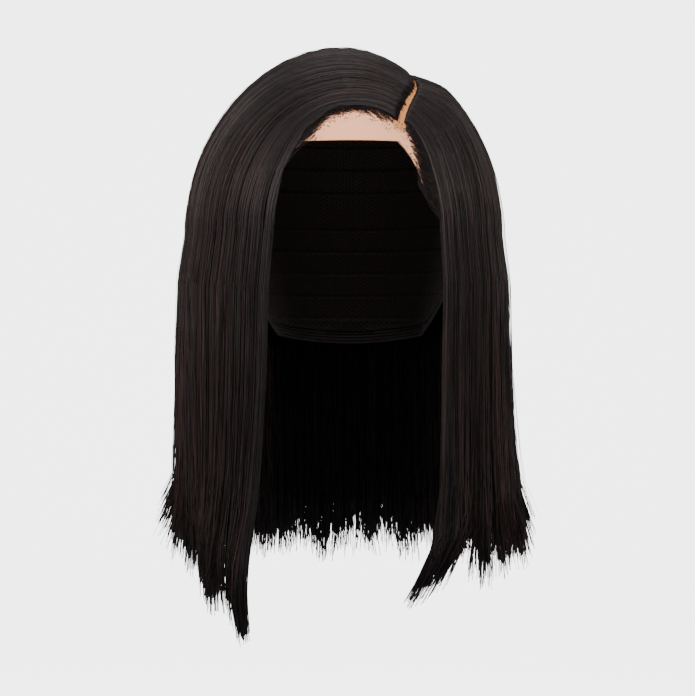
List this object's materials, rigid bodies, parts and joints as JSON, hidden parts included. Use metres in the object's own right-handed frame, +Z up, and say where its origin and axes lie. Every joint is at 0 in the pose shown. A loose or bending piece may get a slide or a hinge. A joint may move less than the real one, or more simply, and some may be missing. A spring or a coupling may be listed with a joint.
{
  "type": "lace closure wig",
  "caption": "Straight dark shoulder-length bob wig with a side part, a sheer lace front, a net cap with an elastic edge and wefts of hair hanging from it.",
  "frame": {"origin": "inside of the cap at the crown of the head, where the wig rests on the head", "axes": "+Z up the wearer's head; the face opening faces -Y; +X is the wearer's left, the side of the part"},
  "size_m": [0.2248, 0.2023, 0.3591],
  "materials": {
    "hair": "straight, soft black-brown human hair with a low sheen",
    "lace": "sheer tan lace net with knotted hair roots",
    "net": "black stretch net",
    "band": "black woven elastic"
  },
  "bodies": {
    "root": {"lace_front": "lace", "cap_net": "net", "edge_band": "band", "weft_right": "hair", "weft_nape": "hair", "weft_left": "hair", "hair_right_front": "hair", "hair_right_side": "hair", "hair_right_back": "hair", "hair_back": "hair", "hair_left_back": "hair", "hair_left_side": "hair", "hair_left_front": "hair"}
  },
  "joints": []
}
